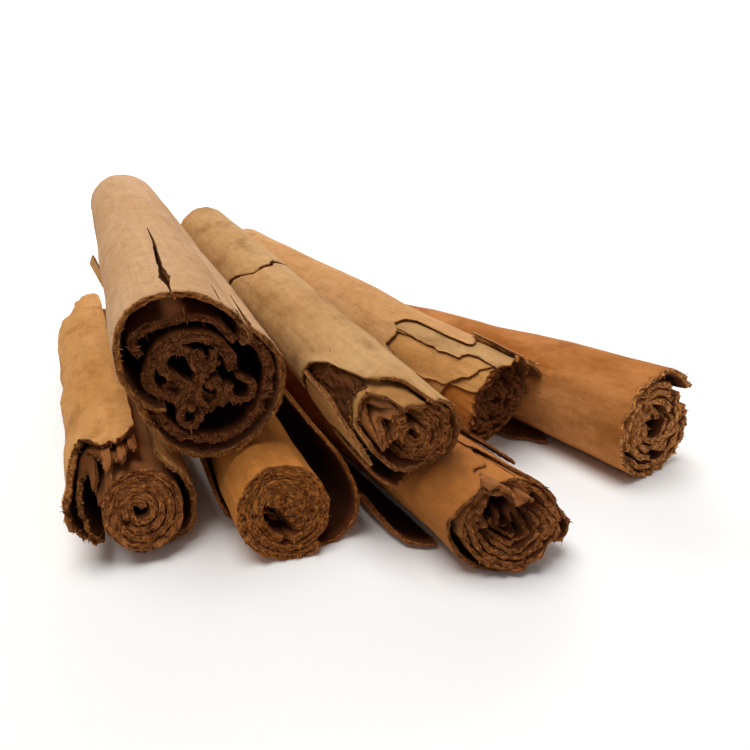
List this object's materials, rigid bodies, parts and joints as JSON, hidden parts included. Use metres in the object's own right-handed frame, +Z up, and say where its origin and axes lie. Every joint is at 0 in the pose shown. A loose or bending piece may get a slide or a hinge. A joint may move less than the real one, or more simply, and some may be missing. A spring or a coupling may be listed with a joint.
{
  "type": "stack of cinnamon sticks",
  "caption": "Loose fanned stack of rolled Ceylon cinnamon quills, a thick one on top, with scrolled bark ends, splits, torn edges and flaked patches.",
  "frame": {"origin": "centre of the footprint, on the table that the quills lie on", "axes": "+X to the right as seen from the cut front ends, +Y away from the front ends, +Z up"},
  "size_m": [0.121, 0.0992, 0.0424],
  "materials": {
    "outer_bark": "matte",
    "inner_bark": "matte",
    "rolled_core": "matte"
  },
  "bodies": {
    "root": {"top_quill_left_bark": "outer_bark", "top_quill_right_bark": "outer_bark", "top_quill_second_bark": "inner_bark", "top_quill_hook_bark": "inner_bark", "top_quill_arched_scroll": "rolled_core", "top_quill_eye_scroll": "rolled_core", "top_quill_crooked_scroll": "rolled_core", "top_quill_side_ring": "rolled_core", "top_quill_low_ring": "rolled_core", "left_quill_bark": "outer_bark", "left_quill_right_bark": "outer_bark", "left_quill_second_bark": "inner_bark", "left_quill_core": "rolled_core", "gutter_quill_bark": "outer_bark", "gutter_quill_left_flap": "outer_bark", "gutter_quill_roll": "outer_bark", "torn_quill_bark": "outer_bark", "torn_quill_rear_bark": "outer_bark", "torn_quill_strip": "outer_bark", "torn_quill_second_bark": "outer_bark", "torn_quill_core": "rolled_core", "torn_quill_under_flake": "inner_bark", "chipped_quill_bark": "outer_bark", "chipped_quill_inner_bark": "outer_bark", "chipped_quill_core": "rolled_core", "chipped_quill_sliver": "outer_bark", "front_quill_bark": "outer_bark", "front_quill_core": "rolled_core", "front_quill_gutter": "inner_bark", "front_quill_side_flake": "inner_bark", "right_quill_bark": "outer_bark", "right_quill_scroll": "rolled_core", "right_quill_flap": "inner_bark"}
  },
  "joints": []
}
